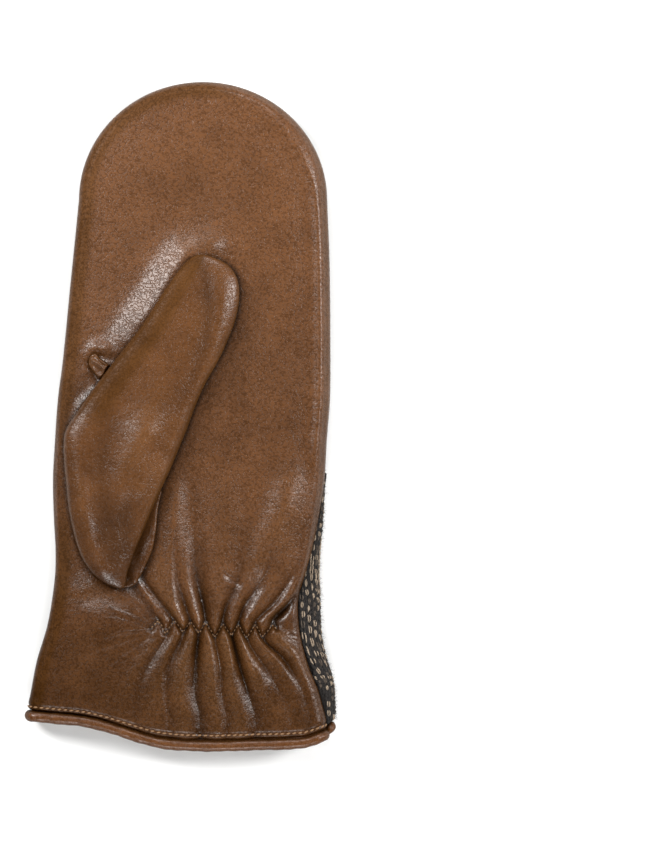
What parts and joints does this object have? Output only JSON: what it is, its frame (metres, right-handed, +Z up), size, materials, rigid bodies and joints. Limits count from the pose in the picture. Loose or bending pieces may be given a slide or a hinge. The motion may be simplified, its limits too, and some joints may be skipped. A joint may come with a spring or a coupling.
{
  "type": "leather mitten",
  "caption": "Leather mitten with a knitted back, a gathered elastic wrist and a rolled edge, lying palm up with its thumb folded over the palm.",
  "frame": {"origin": "centre of the mitten's footprint, on the surface that it lies on", "axes": "+Z up, out of the palm; +Y to the fingertip end; +X away from the thumb, across the palm"},
  "size_m": [0.1246, 0.2674, 0.0326],
  "materials": {
    "palm_leather": "smooth, semi-gloss, fine grain",
    "thumb_leather": "smooth, semi-gloss, fine grain",
    "binding_leather": "smooth, semi-gloss",
    "wool_knit": "matt wool, charcoal with cream flecks"
  },
  "bodies": {
    "root": {"palm_panel": "palm_leather", "back_panel": "wool_knit", "thumb": "thumb_leather", "thumb_quirk": "thumb_leather", "cuff_binding_palm": "binding_leather", "cuff_binding_back": "binding_leather"}
  },
  "joints": []
}
